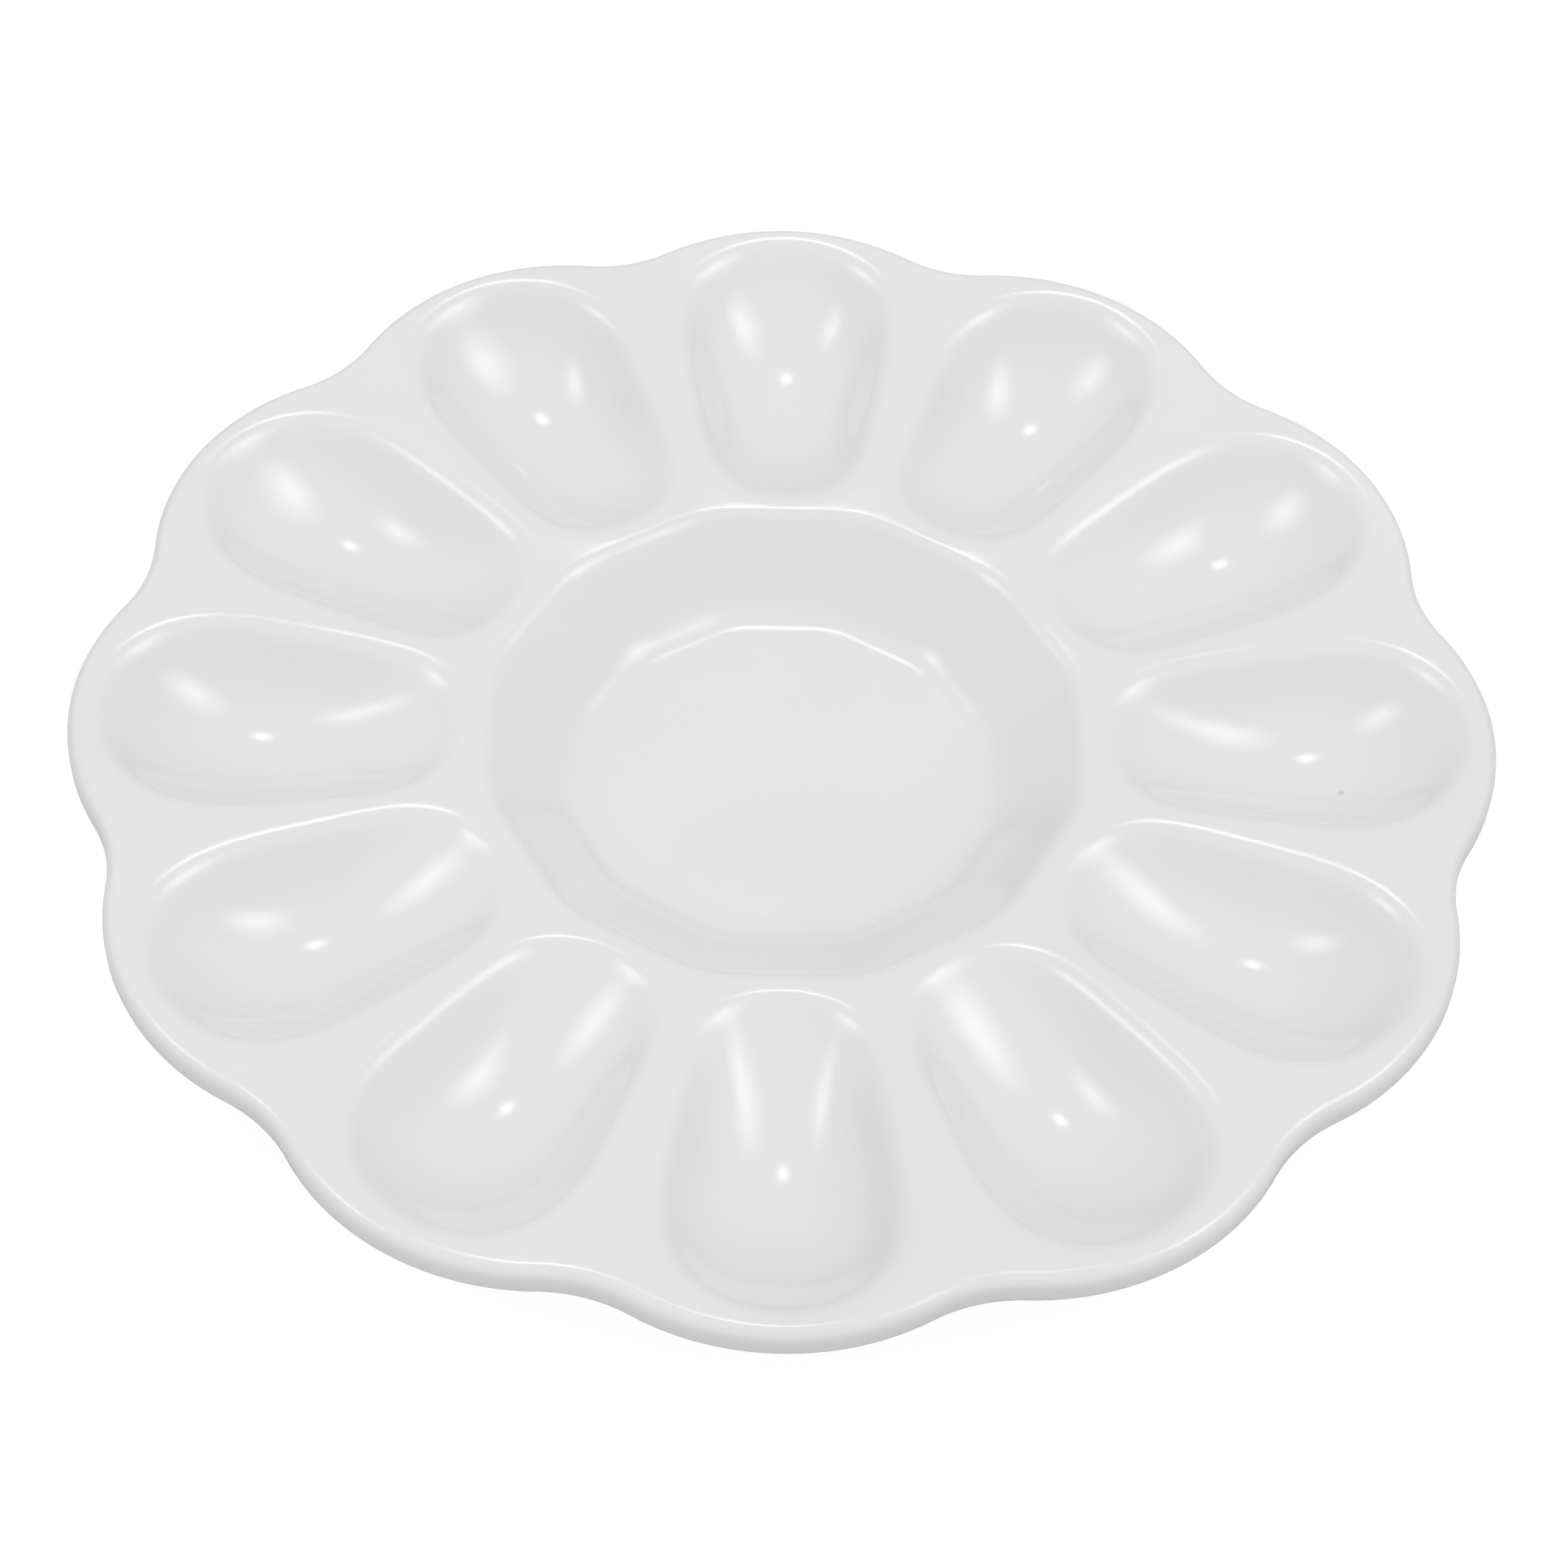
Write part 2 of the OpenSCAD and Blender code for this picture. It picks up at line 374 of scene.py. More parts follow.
@as_group("Radius", "Angle", "Inset")
def top(tree, radius, angle, inset):
    floor_r, mouth_r = tree.size("Centre floor radius"), tree.size("Centre mouth radius")
    plate = dish(tree, radius, angle, 0.0, floor_r, mouth_r)
    height, slope, _ = well(tree, radius, angle)
    lip = eased(slope, STEEPEST) * tree.size("Well lip radius")
    return soft_lower(plate, land(tree, radius, angle) + height, lip) - inset


@as_group("Radius", "Angle", "Inset")
def under(tree, radius, angle, inset):
    deep = tree.size("Wall") - inset
    floor_r, mouth_r = tree.size("Centre floor radius"), tree.size("Centre mouth radius")
    plate = dish(tree, radius, angle, deep, floor_r + deep, mouth_r)
    height, _, slope = well(tree, radius, angle)
    height = height - deep * root(1.0 + eased(slope, STEEPEST))
    blend = tree.size("Well underside softness")
    return soft_lower(plate, land(tree, radius, angle) + height, blend)


@as_group("Radius", "Angle", "Inward", "Inset")
def under_edge(tree, radius, angle, inward, inset):
    """The underside near the rim, where the thickened edge comes down."""
    slope = tree.size("Edge slope") * DEGREE
    start = tree.size("Edge width") - inset / sine(slope) + inset / tangent(slope)
    edge = inset - tree.size("Edge height") + at_least(inward - start, 0.0) * tangent(slope)
    bottom = under(tree, radius, angle, inset)
    return soft_lower(bottom, land(tree, radius, angle) + edge, EDGE_BLEND)


# %% Write the foot's sides
OUTER, INNER = 1.0, -1.0  # the foot's two sides
FILLET_OUT = 0.8  # how far the fillet's corner lies out from the foot's side
FILLET_DOWN = 0.7  # how far it reaches down, as a share of its radius


@as_group("Side", "Inset", "Height")
def foot_wall(tree, side, inset, height):
    """Distance from the axis to the foot's outer or inner side."""
    lean = (height - tree.size("Foot edge radius")) * tangent(tree.size("Foot draft") * DEGREE)
    return tree.size("Foot radius") + (tree.size("Foot thickness") * 0.5 - inset + lean) * side


@as_group("Side", "Inset", "Angle")
def foot_top(tree, side, inset, angle):
    """Where the foot leaves the underside: the fillet's start, corner and end."""
    middle, half = tree.size("Foot radius"), tree.size("Foot thickness") * 0.5
    start = middle + (half + tree.size("Foot fillet")) * side
    start_z = under(tree, start, angle, inset)
    corner_z = under(tree, middle + (half + FILLET_OUT) * side, angle, inset)
    end_z = corner_z - tree.size("Foot fillet") * FILLET_DOWN
    corner, end = foot_wall(tree, side, inset, corner_z), foot_wall(tree, side, inset, end_z)
    return start, start_z, corner, corner_z, end, end_z


# %% [markdown]
# ## Patches, and one lobe made twelve
# A patch is a flat grid whose points are sent to where the rules say. Its lines are closer
# together over the sides of the wells, where the surface turns fastest. The patches of one
# lobe meet line on line, so merging by distance closes them, and a ring of instances does the
# rest. Merging also closes the poles, where a whole edge of a grid falls on the axis.

# %% Bring lines together where the wells are steep
CROWD_ACROSS, SIDE_OF_WELL = 0.45, 0.75
CROWD_ALONG, END_OF_WELL = 0.42, 0.0


def crowded(share, amount, where):
    """Moves lines from 0 to 1 together round a place, the more the nearer the amount is to 1."""
    wave = sine((share - where) * FULL_TURN) + math.sin(where * FULL_TURN)
    return share - wave * (amount / FULL_TURN)


# %% Make patches of a lobe
GRID_HALF = 0.5  # a new grid is 1 wide
MERGE = 0.01 * MM


class Layer:
    """Collects the patches of one lobe of one layer."""

    def __init__(self, name, cells):
        self.rules = Tree(name)
        self.name, self.cells, self.count = name, cells, 0
        self.join = add(self.rules.tree, "GeometryNodeJoinGeometry")
        for size in SIZES:
            self.rules.size(size)

    def patch(self, rings, rule):
        """Adds a grid of that many rings, and rule(tree, share, angle) gives radius and height."""
        self.count += 1
        inner = Tree(f"{self.name}_patch_{self.count}")
        tree = inner.tree
        lines = {"Vertices X": rings + 1, "Vertices Y": self.cells + 1}
        grid = add(tree, "GeometryNodeMeshGrid", lines).outputs["Mesh"]
        place = add(tree, "GeometryNodeInputPosition").outputs[0]
        parts = add(tree, "ShaderNodeSeparateXYZ", {0: place}).outputs
        share = Rule(tree, parts["X"]) + GRID_HALF
        across = Rule(tree, parts["Y"]) / GRID_HALF
        part = crowded(abs(across), CROWD_ACROSS, SIDE_OF_WELL)
        angle = part * across.math("SIGN", across) * half_pitch(inner)
        radius, height = rule(inner, share, angle)
        x_y_z = (radius * cosine(angle), radius * sine(angle), height)
        point = add(tree, "ShaderNodeCombineXYZ", enumerate(x_y_z)).outputs[0]
        moved = add(tree, "GeometryNodeSetPosition", {"Geometry": grid, "Position": point})
        inner.give([moved.outputs[0]], "NodeSocketGeometry")
        self.rules.tree.links.new(self.rules.use(inner).outputs[0], self.join.inputs[0])

    def finish(self, material):
        """Turns the lobe into the whole ring, in metres, with its material."""
        tree = self.rules.tree
        index = Rule(tree, add(tree, "GeometryNodeInputIndex").outputs[0])
        turn = QUARTER - index * half_pitch(self.rules) * 2.0
        angles = add(tree, "ShaderNodeCombineXYZ", {"Z": turn}).outputs[0]
        spots = add(tree, "GeometryNodePoints", {"Count": self.rules.size("Lobes")})
        wanted = {
            "Points": spots.outputs[0],
            "Instance": self.join.outputs[0],
            "Rotation": add(tree, "FunctionNodeEulerToRotation", {0: angles}).outputs[0],
        }
        last = add(tree, "GeometryNodeInstanceOnPoints", wanted).outputs[0]
        for kind, inputs in (
            ("GeometryNodeTransform", {"Scale": (MM, MM, MM)}),
            ("GeometryNodeRealizeInstances", {}),
            ("GeometryNodeMergeByDistance", {"Distance": MERGE}),
            ("GeometryNodeSetShadeSmooth", {}),
            ("GeometryNodeSetMaterial", {"Material": material}),
        ):
            last = add(tree, kind, {0: last, **inputs}).outputs[0]
        self.rules.give([last], "NodeSocketGeometry")
        print(f"{self.name}: {self.count} patches in a lobe")
        return tree


# %% [markdown]
# ## The layers' skins
# The glaze's outer face and the clay's face under it are the same skin at two depths, so each
# stretch of it is written once, with the depth as its inset: the top, the rounded rim, the
# underside, and each side of the foot. A layer is then a list of stretches.

# %% Write the skin of the top
FLOOR_BAND = 33.0  # from the axis to where the finer rings begin
CENTRE_BAND = 62.0  # from the axis to where the patch of the egg wells begins
RIM_BAND = 9.0  # from the rim's outline in to where that patch ends


def top_skin(layer, inset, rings):
    def centre(low, high):
        def rule(tree, share, angle):
            radius = (low + (high - low) * share) / cosine(angle)
            return radius, top(tree, radius, angle, inset)

        return rule

    def wells(tree, share, angle):
        even = crowded(share, CROWD_ALONG, END_OF_WELL)
        radius = between(CENTRE_BAND / cosine(angle), plan(tree, angle, RIM_BAND), even)
        return radius, top(tree, radius, angle, inset)

    def band(tree, share, angle):
        radius = plan(tree, angle, between(RIM_BAND, tree.size("Edge top radius"), share))
        return radius, top(tree, radius, angle, inset)

    rules = (centre(0.0, FLOOR_BAND), centre(FLOOR_BAND, CENTRE_BAND), wells, band)
    for count, rule in zip(rings, rules):
        layer.patch(count, rule)


# %% Write the skin of the rim
def rim_skin(layer, inset, rings):
    def rounded_top(tree, share, angle):
        edge = tree.size("Edge top radius")
        radius = plan(tree, angle, edge - (edge - inset) * sine(share * QUARTER))
        rise = (edge - inset) * cosine(share * QUARTER)
        return radius, land(tree, radius, angle) - edge + rise

    def face(tree, share, angle):
        radius = plan(tree, angle, inset)
        low = tree.size("Edge height") - tree.size("Edge bottom radius")
        drop = between(tree.size("Edge top radius"), low, share)
        return radius, land(tree, radius, angle) - drop

    def rounded_bottom(tree, share, angle):
        edge = tree.size("Edge bottom radius")
        radius = plan(tree, angle, edge - (edge - inset) * cosine(share * QUARTER))
        drop = tree.size("Edge height") - edge + (edge - inset) * sine(share * QUARTER)
        return radius, land(tree, radius, angle) - drop

    def underneath(tree, share, angle):
        inward = between(tree.size("Edge bottom radius"), RIM_BAND, share)
        radius = plan(tree, angle, inward)
        return radius, under_edge(tree, radius, angle, inward, inset)

    for count, rule in zip(rings, (rounded_top, face, rounded_bottom, underneath)):
        layer.patch(count, rule)


# %% Write the skins of the underside
def under_skin(layer, inset, rings):
    def rule(tree, share, angle):
        start = foot_top(tree, OUTER, inset, angle)[0]
        edge = plan(tree, angle, RIM_BAND)
        radius = between(edge, start, share)
        return radius, under_edge(tree, radius, angle, edge - radius + RIM_BAND, inset)

    layer.patch(rings, rule)


def inner_floor_skin(layer, inset, rings):
    def rule(tree, share, angle):
        radius = foot_top(tree, INNER, inset, angle)[0] * share
        return radius, under(tree, radius, angle, inset)

    layer.patch(rings, rule)


# %% Write the skins of the foot
def foot_skin(layer, side, inset, low, rings):
    """The fillet over the foot and the foot's side, down to a height."""

    def fillet(tree, share, angle):
        a, a_z, b, b_z, c, c_z = foot_top(tree, side, inset, angle)
        return bend(a, b, c, share), bend(a_z, b_z, c_z, share)

    def wall(tree, share, angle):
        height = between(foot_top(tree, side, inset, angle)[-1], low, share)
        return foot_wall(tree, side, inset, height), height

    for count, rule in zip(rings, (fillet, wall)):
        layer.patch(count, rule)


def glaze_lip(layer, side, low, high, rings):
    """The glaze's rounded end over the bare foot, from its face in to the clay."""

    def rule(tree, share, angle):
        height = high + (low - high) * share * (2.0 - share)
        face = foot_wall(tree, side, 0.0, height)
        clay_face = foot_wall(tree, side, tree.size("Glaze"), height)
        return between(face, clay_face, share * share), height

    layer.patch(rings, rule)


def foot_bottom(layer, inset, rings):
    """The foot's two rounded edges and the flat ring between them."""

    def flat(tree):
        return tree.size("Foot thickness") * 0.5 - inset - tree.size("Foot edge radius")

    def edge(side):
        def rule(tree, share, angle):
            small = tree.size("Foot edge radius")
            out = flat(tree) + small * cosine(share * QUARTER)
            return tree.size("Foot radius") + out * side, small * (1.0 - sine(share * QUARTER))

        return rule

    def ring(tree, share, angle):
        return tree.size("Foot radius") + flat(tree) * (1.0 - share * 2.0), 0.0

    for count, rule in ((rings, edge(OUTER)), (rings, edge(INNER)), (2, ring)):
        layer.patch(count, rule)


# %% [markdown]
# ## Baking a layer
# The modifier works on an empty mesh, because the tree makes its own grids. Its inputs are set
# by their identifiers, the result is copied into a plain mesh, and the modifier goes, so that
# the layer is an ordinary closed mesh that any exporter understands. Patches don't know which
# way is out, so the normals are worked out once the mesh is whole.


# %% Turn every face outwards
def face_outwards(name, shape):
    work = bmesh.new()
    work.from_mesh(shape)
    bmesh.ops.recalc_face_normals(work, faces=work.faces)
    if work.calc_volume(signed=True) < 0:
        bmesh.ops.reverse_faces(work, faces=work.faces)
    open_edges = sum(1 for edge in work.edges if len(edge.link_faces) != 2)
    triangles = sum(len(face.verts) - 2 for face in work.faces)
    volume = work.calc_volume() / MM**3
    work.to_mesh(shape)
    work.free()
    print(f"{name}: {triangles} triangles, {open_edges} open edges, {volume:.0f} cubic mm")


# %% Bake a tree into a closed mesh
def new_object(name, data):
    item = bpy.data.objects.new(name, data)
    bpy.context.scene.collection.objects.link(item)
    return item


def bake(name, tree):
    piece = new_object(name, bpy.data.meshes.new(name + "_seed"))
    modifier = piece.modifiers.new(name, "NODES")
    modifier.node_group = tree
    for item in tree.interface.items_tree:
        if item.item_type == "SOCKET" and item.in_out == "INPUT":
            modifier[item.identifier] = SIZES[item.name]
    depsgraph = bpy.context.evaluated_depsgraph_get()
    shape = bpy.data.meshes.new_from_object(piece.evaluated_get(depsgraph), depsgraph=depsgraph)
    piece.modifiers.clear()
    piece.data = shape
    face_outwards(name, shape)
    return piece


# %% [markdown]
# ## Shader helpers
# A material is a tree too. These helpers give the nodes that every finish here needs: a soft
# step, which turns a noise or a distance into a mask, a mix of two colours, and a bump, which
# tilts the light on a face without moving the face.


# %% Write the shader helpers
def new_material(name):
    material = bpy.data.materials.new(name)
    material.use_nodes = True
    material.node_tree.nodes.clear()
    return material, material.node_tree


def maths(tree, operation, *values):
    return add(tree, "ShaderNodeMath", enumerate(values), operation=operation).outputs[0]


def ramp(tree, value, low, high, to_low, to_high):
    """A smooth step of a value between two bounds."""
    inputs = {"Value": value, "From Min": low, "From Max": high}
    inputs.update({"To Min": to_low, "To Max": to_high})
    step = add(tree, "ShaderNodeMapRange", inputs, interpolation_type="SMOOTHSTEP")
    return step.outputs["Result"]


def noise(tree, point, scale, detail=2.0, rough=0.5):
    inputs = {"Vector": point, "Scale": scale, "Detail": detail, "Roughness": rough}
    return add(tree, "ShaderNodeTexNoise", inputs).outputs["Fac"]


def mixed(tree, share, first, second):
    """The first colour where the share is 0, and the second where it is 1."""
    inputs = {"Factor": share, "A": first, "B": second}
    return add(tree, "ShaderNodeMix", inputs, data_type="RGBA").outputs["Result"]


def bump(tree, height, distance, **more):
    inputs = {"Height": height, "Strength": 1.0, "Distance": distance, **more}
    return add(tree, "ShaderNodeBump", inputs).outputs["Normal"]


# %% [markdown]
# ## The glaze
# Porcelain glaze is clear glass over white clay: a hard gleam over a soft body colour. One
# Principled shader gives both. What keeps it from looking like plastic is slight: the glass
# lies in very low waves, it has an almost invisible orange peel, its white wanders by a hair
# where it is thick or thin, and a few specks of iron have burnt through. All of that is in
# Object coordinates, in metres, so the pattern stays put on the platter.

# %% Scatter the specks
SPECK_PLACE = (0.1103, -0.0078, 0.0129)
SPECK_FADE = {"low": 0.6 * MM, "high": 1.3 * MM, "to_low": 0.6, "to_high": 0.0}
SPECK_WOBBLE = 0.7 * MM
SMALL_FADE = {"low": 0.012, "high": 0.03, "to_low": 1.0, "to_high": 0.0}
SMALL_CHOICE = {"low": 0.955, "high": 0.96, "to_low": 0.0, "to_high": 0.30}


def specks(tree, point):
    """A mask of one large speck in a well and a scatter of very small ones."""
    places = {0: point, 1: SPECK_PLACE}
    away = add(tree, "ShaderNodeVectorMath", places, operation="DISTANCE").outputs["Value"]
    ragged = maths(tree, "MULTIPLY", noise(tree, point, scale=1500.0), SPECK_WOBBLE)
    large = ramp(tree, maths(tree, "ADD", away, ragged), **SPECK_FADE)
    cells = add(tree, "ShaderNodeTexVoronoi", {"Vector": point, "Scale": 95.0}, feature="F1")
    near = ramp(tree, cells.outputs["Distance"], **SMALL_FADE)
    any_number = add(tree, "ShaderNodeSeparateColor", {"Color": cells.outputs["Color"]}).outputs[0]
    small = maths(tree, "MULTIPLY", near, ramp(tree, any_number, **SMALL_CHOICE))
    return maths(tree, "MAXIMUM", large, small)


# %% Mix the glaze
GLAZE_WHITE = (0.80, 0.80, 0.797, 1.0)
GLAZE_THICK = (0.775, 0.778, 0.777, 1.0)
SPECK_BROWN = (0.17, 0.14, 0.12, 1.0)
CLOUDS = {"low": 0.35, "high": 0.7, "to_low": 0.0, "to_high": 1.0}
GLOSS = {"low": 0.3, "high": 0.7, "to_low": 0.075, "to_high": 0.10}
WAVE_HEIGHT, PEEL_HEIGHT = 0.06 * MM, 0.0012 * MM


def glaze_material():
    material, tree = new_material("clear_gloss_glaze")
    point = add(tree, "ShaderNodeTexCoord").outputs["Object"]
    clouds = ramp(tree, noise(tree, point, scale=22.0, detail=3.0), **CLOUDS)
    white = mixed(tree, clouds, GLAZE_WHITE, GLAZE_THICK)
    waves = bump(tree, noise(tree, point, scale=45.0, detail=1.0), WAVE_HEIGHT)
    finish = {
        "Base Color": mixed(tree, specks(tree, point), white, SPECK_BROWN),
        "Roughness": ramp(tree, noise(tree, point, scale=60.0, detail=4.0), **GLOSS),
        "IOR": 1.5,
        "Normal": bump(tree, noise(tree, point, scale=900.0), PEEL_HEIGHT, Normal=waves),
    }
    shader = add(tree, "ShaderNodeBsdfPrincipled", finish)
    add(tree, "ShaderNodeOutputMaterial", {"Surface": shader.outputs[0]})
    print(f"{material.name}: {len(tree.nodes)} nodes")
    return material


# %% [markdown]
# ## The bare clay
# The foot is wiped before firing, so that the platter doesn't stick to the kiln shelf. What
# shows there is porcelain clay: a warm, dry white with the finest grain, a little worn and
# grey on the ring that has rubbed over shelves and tables.

# %% Mix the bare clay
CLAY_WARM = (0.70, 0.67, 0.62, 1.0)
CLAY_PALE = (0.82, 0.80, 0.76, 1.0)
CLAY_WORN = (0.45, 0.43, 0.40, 1.0)
WORN_BELOW = {"low": 0.1 * MM, "high": 1.0 * MM, "to_low": 1.0, "to_high": 0.0}
WORN_PATCHES = {"low": 0.42, "high": 0.62, "to_low": 0.15, "to_high": 0.65}
GRAIN_HEIGHT = 0.05 * MM


def clay_material():
    material, tree = new_material("bare_fired_clay")
    point = add(tree, "ShaderNodeTexCoord").outputs["Object"]
    height = add(tree, "ShaderNodeSeparateXYZ", {"Vector": point}).outputs["Z"]
    grain = noise(tree, point, scale=2600.0, detail=4.0, rough=0.7)
    patches = noise(tree, point, scale=240.0, detail=5.0, rough=0.65)
    low, rubbed = ramp(tree, height, **WORN_BELOW), ramp(tree, patches, **WORN_PATCHES)
    worn = maths(tree, "MULTIPLY", low, rubbed)
    finish = {
        "Base Color": mixed(tree, worn, mixed(tree, grain, CLAY_WARM, CLAY_PALE), CLAY_WORN),
        "Roughness": 0.85,
        "Normal": bump(tree, grain, GRAIN_HEIGHT, Strength=0.6),
    }
    shader = add(tree, "ShaderNodeBsdfPrincipled", finish)
    add(tree, "ShaderNodeOutputMaterial", {"Surface": shader.outputs[0]})
    print(f"{material.name}: {len(tree.nodes)} nodes")
    return material


# %% [markdown]
# ## The three layers
# The glaze over the top and round to the foot is one closed skin with an outer and an inner
# face, the glaze inside the foot ring is another, and the clay fills what lies between them.
# Where nothing shows, a few rings of a patch are enough.

# %% Build the glaze over the platter
glaze = glaze_material()
LIP_HEIGHT = 0.9
GLAZE_LOW = SIZES["Bare height"]
GLAZE_END = GLAZE_LOW + LIP_HEIGHT
CLAY_DEPTH = SIZES["Glaze"]

coat = Layer("glaze_coat_rules", cells=48)
for inset, end, top_rings, rim_rings, under_rings, foot_rings in (
    (0.0, GLAZE_END, (3, 20, 52, 9), (5, 1, 4, 6), 14, (5, 2)),
    (CLAY_DEPTH, GLAZE_LOW, (1, 6, 12, 2), (2, 1, 1, 2), 4, (2, 1)),
):
    top_skin(coat, inset, top_rings)
    rim_skin(coat, inset, rim_rings)
    under_skin(coat, inset, under_rings)
    foot_skin(coat, OUTER, inset, end, foot_rings)
glaze_lip(coat, OUTER, GLAZE_LOW, GLAZE_END, rings=4)
glaze_piece = bake("glazed_surface", coat.finish(glaze))

# %% Build the glaze inside the foot
patch_in_foot = Layer("foot_glaze_rules", cells=24)
inner_floor_skin(patch_in_foot, 0.0, rings=24)
foot_skin(patch_in_foot, INNER, 0.0, GLAZE_END, rings=(6, 2))
inner_floor_skin(patch_in_foot, CLAY_DEPTH, rings=10)
foot_skin(patch_in_foot, INNER, CLAY_DEPTH, GLAZE_LOW, rings=(3, 1))
glaze_lip(patch_in_foot, INNER, GLAZE_LOW, GLAZE_END, rings=4)
foot_glaze_piece = bake("glaze_inside_foot", patch_in_foot.finish(glaze))

# %% Build the clay
body = Layer("clay_rules", cells=24)
top_skin(body, CLAY_DEPTH, rings=(1, 6, 24, 4))
rim_skin(body, CLAY_DEPTH, rings=(3, 1, 2, 4))
under_skin(body, CLAY_DEPTH, rings=8)
foot_skin(body, OUTER, CLAY_DEPTH, SIZES["Foot edge radius"], rings=(3, 2))
foot_bottom(body, CLAY_DEPTH, rings=5)
foot_skin(body, INNER, CLAY_DEPTH, SIZES["Foot edge radius"], rings=(3, 2))
inner_floor_skin(body, CLAY_DEPTH, rings=12)
clay_piece = bake("fired_clay", body.finish(clay_material()))

# %% [markdown]
# ## Standing in for the frame
# Each finished layer stands for the frame's node of the same layer, which is hidden, and rides on
# the one body that the platter is.

# %% Tie the layers to the frame
for piece, node, slot in (
    (glaze_piece, "glaze_coat", "glaze"),
    (foot_glaze_piece, "foot_well_glaze", "glaze"),
    (clay_piece, "porcelain_body", "bisque"),
):
    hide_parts(node)
    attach(piece, "root")
    print(piece.name, "stands for", node)

# %% [markdown]
# ## The table
# A white table runs out past the view. The camera sees it as plain white, apart from a faint
# shadow. The platter is lit by its matt white and by a faint painted glow, which stands in for
# the light that a real table lets in under the platter. From below, it is clear, so that the
# foot can be looked at too.

# %% Lay the table
WHITE = (1.0, 1.0, 1.0, 1.0)
TABLE_HALF = 6.0
TABLE_DROP = 0.02 * MM


def either(tree, share, first, second):
    """The first shader where the share is 0, and the second where it is 1."""
    return add(tree, "ShaderNodeMixShader", {0: share, 1: first, 2: second}).outputs[0]


def matt_and_glowing(tree, grey, glow):
    matt = add(tree, "ShaderNodeBsdfDiffuse", {"Color": (grey, grey, grey, 1.0)}).outputs[0]
    light = add(tree, "ShaderNodeEmission", {"Color": WHITE, "Strength": glow}).outputs[0]
    return add(tree, "ShaderNodeAddShader", {0: matt, 1: light}).outputs[0]


def table_material():
    material, tree = new_material("white_table")
    by_camera = add(tree, "ShaderNodeLightPath").outputs["Is Camera Ray"]
    # painted glow: the table gives off a little light of its own, which brightens the platter's
    # underside and foot
    lit_with_painted_glow = matt_and_glowing(tree, grey=0.60, glow=0.11)
    above = either(tree, by_camera, lit_with_painted_glow, matt_and_glowing(tree, grey=0.13, glow=0.93))
    from_below = add(tree, "ShaderNodeNewGeometry").outputs["Backfacing"]
    clear = add(tree, "ShaderNodeBsdfTransparent").outputs[0]
    shown = either(tree, from_below, above, clear)
    add(tree, "ShaderNodeOutputMaterial", {"Surface": shown})
    return material


table = new_object("table", bpy.data.meshes.new("table"))
corners = [(x * TABLE_HALF, y * TABLE_HALF, 0) for x, y in ((-1, -1), (1, -1), (1, 1), (-1, 1))]
table.data.from_pydata(corners, [], [(0, 1, 2, 3)])
table.data.materials.append(table_material())
table.location.z = -TABLE_DROP
print("table corners:", corners)

# %% [markdown]
# ## The camera
# The camera looks down at about 51 degrees through a long lens, from three quarters of a metre
# away, so the near lobes look about a quarter larger than the far ones. A wider lens, closer to
# the platter, would stretch them more. Small turns about the camera's three axes, and one of the
# whole stage, line up the picture.

# %% Set the camera
PLATE_R = 137.3 * MM  # from the axis to the crest of a lobe
AIM = Vector((0.0, 0.0, 23.8 * MM))
AWAY = 5.379 * PLATE_R
LENS_PX, FRAME_PX, SENSOR_MM = 4644.0, 1932.0, 36.0
TILT, ROLL, NOD, PAN, TURN = (math.radians(a) for a in (50.12, -2.60, 1.018, 0.033, -1.81))

forward = Vector((0, math.cos(TILT), -math.sin(TILT)))
up = Vector((0, math.sin(TILT), math.cos(TILT)))
axes = Matrix(((1, 0, 0), up, -forward))
roll, nod, pan = (Matrix.Rotation(a, 3, axis) for a, axis in ((ROLL, "Z"), (NOD, "X"), (PAN, "Y")))
spin = Matrix.Rotation(TURN, 3, "Z")
camera = new_object("camera", bpy.data.cameras.new("camera"))
camera.data.sensor_width = SENSOR_MM
camera.data.lens = SENSOR_MM * LENS_PX / FRAME_PX
camera.matrix_world = (spin @ (roll @ nod @ pan @ axes).transposed()).to_4x4()
camera.location = AIM + spin @ (-forward * AWAY)
bpy.context.scene.camera = camera
print("camera at", [round(v, 3) for v in camera.location], "lens", round(camera.data.lens, 1))

# %% [markdown]
# ## The lamps
# One round lamp hangs behind the platter and a larger one on each side, and their mirror images
# are the three gleams in every well. A soft box is brightest in its middle, so each lamp is five
# lights of falling size. They hang one behind another, because a mirrored ray counts only one of
# two lights in the same plane.

# %% Hang the lamps
LIGHTS_IN_LAMP = ((1.0, 0.12), (0.8, 0.20), (0.6, 0.24), (0.42, 0.24), (0.26, 0.20))
LIGHT_STEP = 0.03


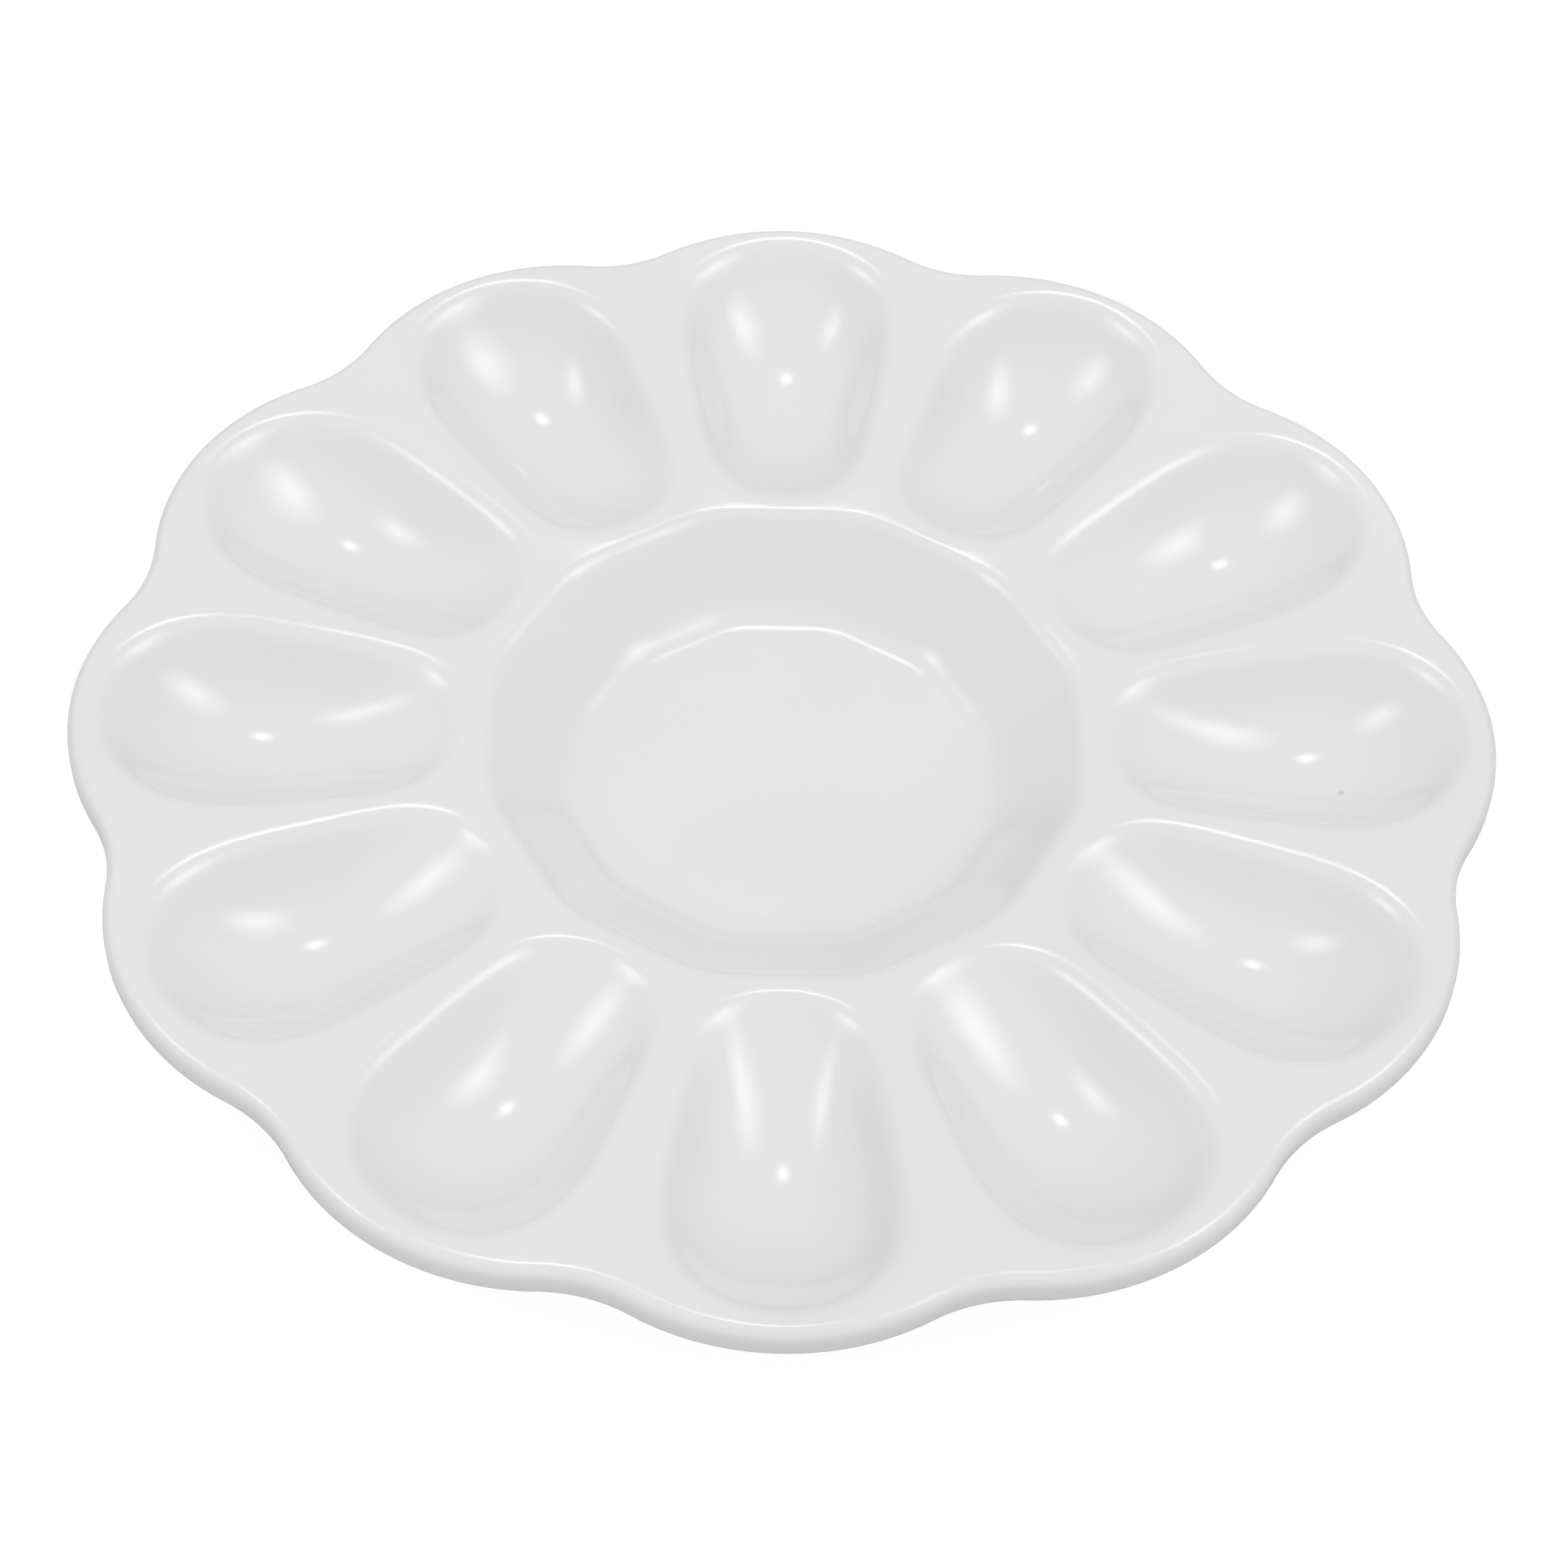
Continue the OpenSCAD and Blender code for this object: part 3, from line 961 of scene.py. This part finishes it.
def light(name, azimuth, elevation, distance, width, height, radiance):
    """An oval light that faces the platter, as bright as its radiance from any distance."""
    data = bpy.data.lights.new(name, "AREA")
    data.shape = "ELLIPSE"
    data.size, data.size_y = width, height
    # an oval is pi / 4 of its box, and a matt light sends out pi times its radiance
    data.energy = radiance * math.pi * width * height * math.pi / 4
    a, e = math.radians(azimuth), math.radians(elevation)
    back = spin @ Vector((math.sin(a) * math.cos(e), math.cos(a) * math.cos(e), math.sin(e)))
    item = new_object(name, data)
    item.location = AIM + back * distance
    item.rotation_mode = "QUATERNION"
    item.rotation_quaternion = (-back).to_track_quat("-Z", "Y")


def lamp(name, azimuth, elevation, distance, width, height, radiance):
    for number, (size, share) in enumerate(LIGHTS_IN_LAMP):
        away = distance + LIGHT_STEP * number
        part, strength = f"{name}_{number}", radiance * share
        light(part, azimuth, elevation, away, width * size, height * size, strength)
    print(f"{name}: {len(LIGHTS_IN_LAMP)} lights, {distance:g} m away")


lamp("back_lamp", -1.1, 57.6, distance=6.0, width=0.85, height=0.85, radiance=7.5)
lamp("left_lamp", -63.1, 62.6, distance=4.0, width=1.8, height=1.4, radiance=3.6)
lamp("right_lamp", 61.4, 63.6, distance=4.0, width=2.5, height=1.9, radiance=3.9)

# %% [markdown]
# ## The room
# The rest of the light comes softly from all round, as in a white studio: more from above, and a
# little more from the viewer's side. The camera sees the room as plain white.

# %% Light the room
ROOM_LIGHT = {"low": 0.05, "high": 0.55, "to_low": 0.41, "to_high": 0.885}
MORE_IN_FRONT = 0.16

world = bpy.data.worlds.new("white_room")
bpy.context.scene.world = world
world.use_nodes = True
tree = world.node_tree
tree.nodes.clear()
to_sky = add(tree, "ShaderNodeTexCoord").outputs["Object"]
parts = add(tree, "ShaderNodeSeparateXYZ", {"Vector": to_sky}).outputs
front = maths(tree, "MULTIPLY_ADD", parts["Y"], -MORE_IN_FRONT, 1.0)
strength = maths(tree, "MULTIPLY", ramp(tree, parts["Z"], **ROOM_LIGHT), front)
soft, plain = (
    add(tree, "ShaderNodeBackground", {"Color": WHITE, "Strength": level}).outputs[0]
    for level in (strength, 1.0)
)
by_camera = add(tree, "ShaderNodeLightPath").outputs["Is Camera Ray"]
add(tree, "ShaderNodeOutputWorld", {"Surface": either(tree, by_camera, soft, plain)})
bpy.context.scene.view_settings.view_transform = "Standard"
print(f"{world.name}: {len(tree.nodes)} nodes")
